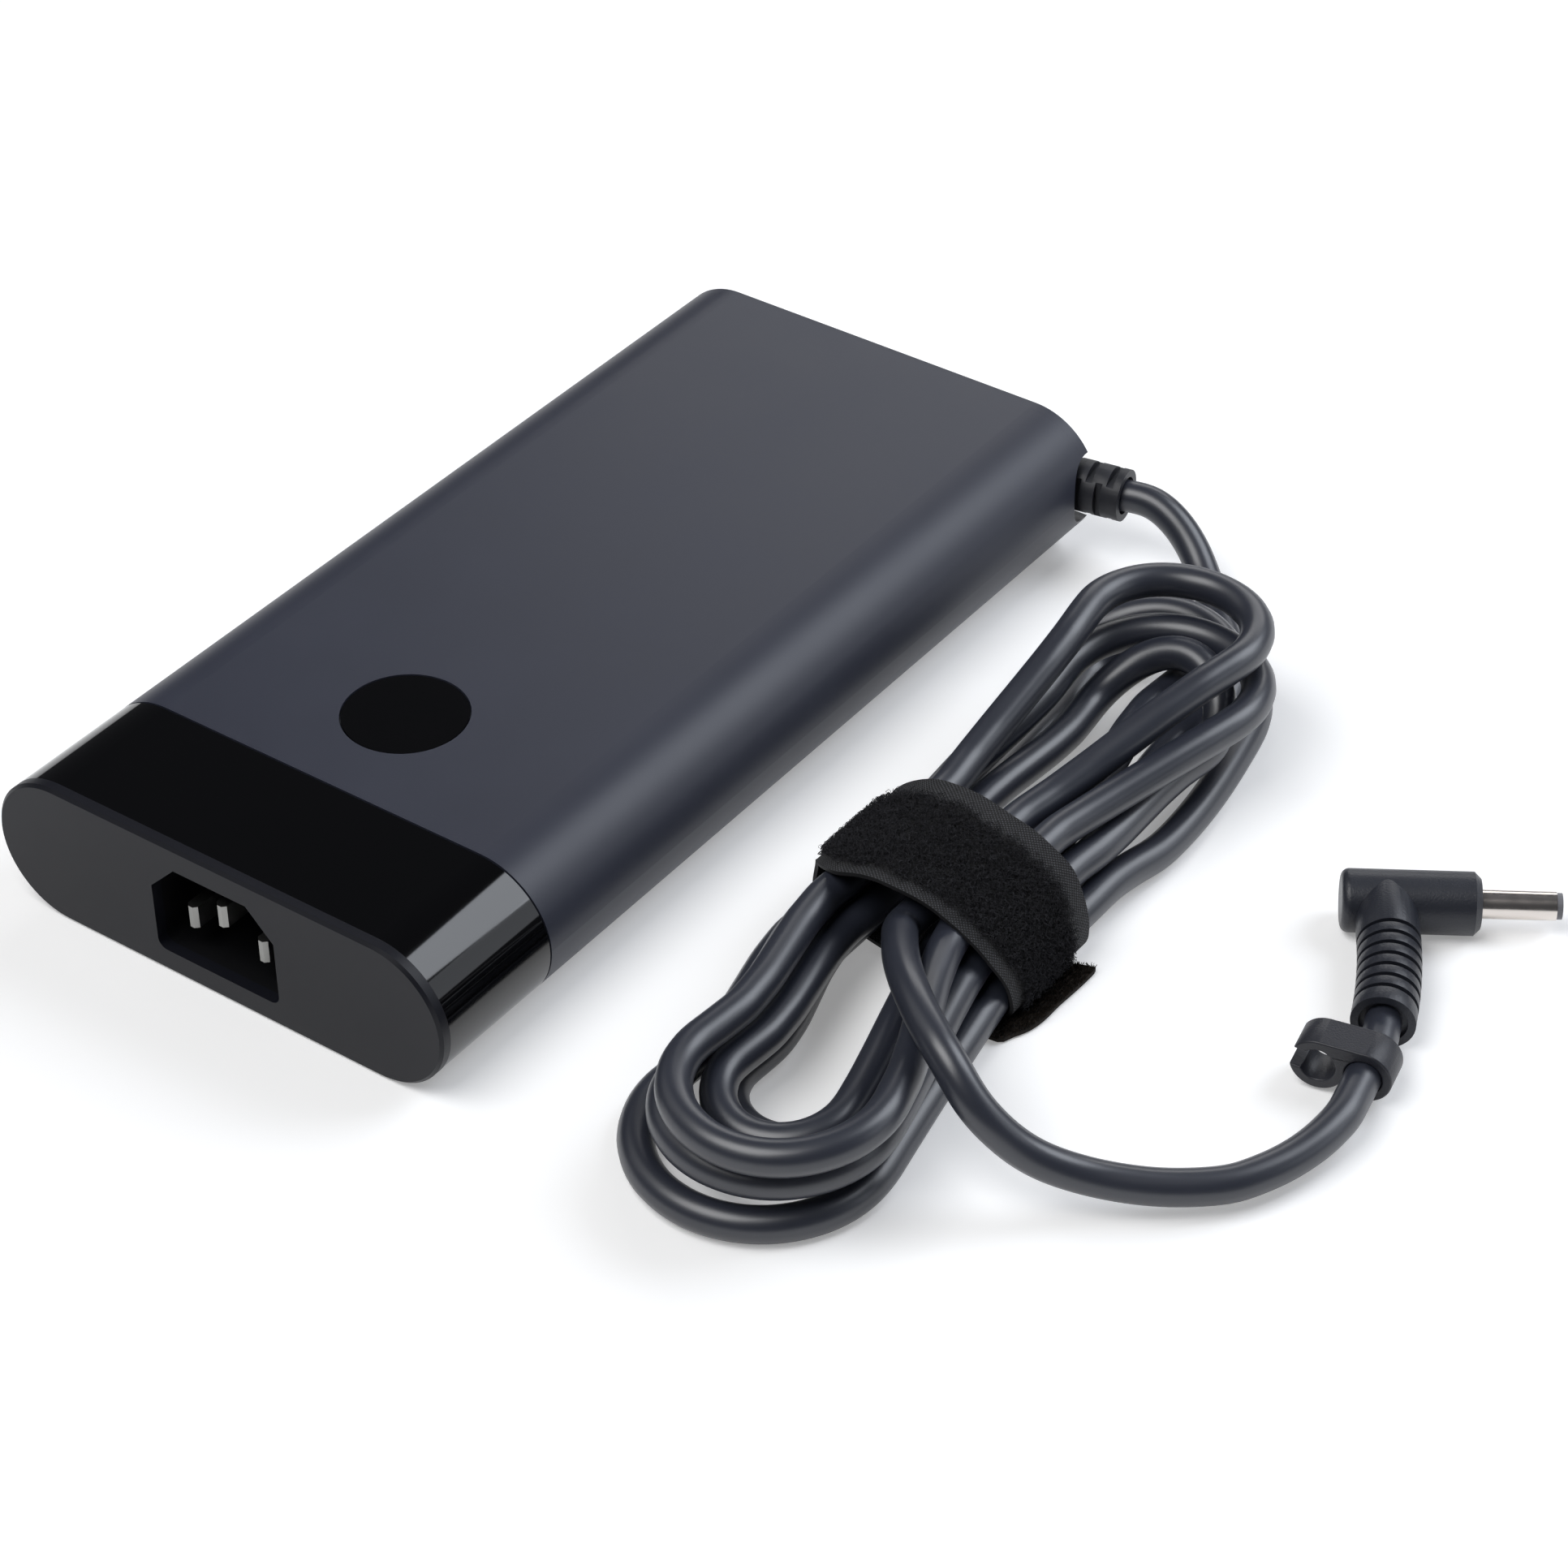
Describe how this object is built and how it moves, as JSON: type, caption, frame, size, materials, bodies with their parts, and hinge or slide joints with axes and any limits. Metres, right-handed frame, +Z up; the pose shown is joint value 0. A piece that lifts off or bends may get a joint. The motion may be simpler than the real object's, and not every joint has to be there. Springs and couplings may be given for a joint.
{
  "type": "laptop power adapter",
  "caption": "Slim pill-shaped laptop power supply with a three-blade inlet, a wound output cord held by a hook-and-loop strap, a cord clip and an angled barrel plug.",
  "frame": {"origin": "centre of the case's flat base", "axes": "+X across the case towards the cord, +Y along the case from the inlet to the rear, +Z up from the base"},
  "size_m": [0.2029, 0.181, 0.0261],
  "materials": {
    "sleeve": "fine satin grain, dark charcoal",
    "gloss_band": "polished black",
    "satin_plate": "satin dark grey",
    "socket_plastic": "satin black",
    "nickel": "bright nickel",
    "relief_rubber": "matt black",
    "cord_jacket": "smooth satin black jacket",
    "strap_fabric": "loop pile with woven edges, black",
    "clip_rubber": "matt black",
    "plug_plastic": "fine grain, black",
    "tip_plastic": "grey",
    "brass_contact": "bright",
    "board": "green solder mask",
    "insulating_film": "translucent film",
    "shield_aluminium": "mill finish",
    "fuse_ceramic": "white tube with metal caps",
    "copper_winding": "enamelled copper",
    "film_capacitor": "yellow case",
    "ceramic_capacitor": "blue coating",
    "component_black": "moulded black",
    "ferrite": "dark grey ferrite",
    "capacitor_sleeve": "shrink sleeve",
    "lead_insulation": "insulated wire"
  },
  "bodies": {
    "adapter": {"upper_cover": "sleeve", "lower_cover": "sleeve", "front_band": "gloss_band", "inlet_plate": "satin_plate", "rear_plate": "sleeve", "badge_disc": "gloss_band", "inlet_socket": "socket_plastic", "pin_line": "nickel", "pin_neutral": "nickel", "pin_earth": "nickel", "strain_relief": "relief_rubber", "cord_lead": "cord_jacket", "cord_hank": "cord_jacket", "cord_tail": "cord_jacket", "cord_tip": "cord_jacket", "cord_end": "cord_jacket", "tie_strap": "strap_fabric", "plug_relief": "plug_plastic", "plug_body": "plug_plastic", "plug_barrel": "nickel", "plug_insulator": "tip_plastic", "plug_pin": "brass_contact", "circuit_board": "board", "insulation_sheet": "insulating_film", "lower_shield": "shield_aluminium", "upper_shield": "shield_aluminium", "mains_fuse": "fuse_ceramic", "mains_choke": "copper_winding", "suppression_capacitor": "film_capacitor", "y_capacitors": "ceramic_capacitor", "bridge_rectifier": "component_black", "boost_choke": "ferrite", "bulk_capacitors": "capacitor_sleeve", "primary_heat_sink": "shield_aluminium", "switching_transistors": "component_black", "main_transformer": "ferrite", "secondary_heat_sink": "shield_aluminium", "output_rectifiers": "component_black", "output_choke": "copper_winding", "output_capacitors": "capacitor_sleeve", "inlet_leads": "lead_insulation", "output_leads": "lead_insulation"},
    "clip": {"cable_clip": "clip_rubber"}
  },
  "joints": [
    {"name": "clip_turn", "type": "hinge", "parent": "adapter", "child": "clip", "pos_m": [0.15178, -0.00656, 0.00495], "axis": [-0.2079, 0.9781, 0], "range_deg": [0, 180]}
  ]
}
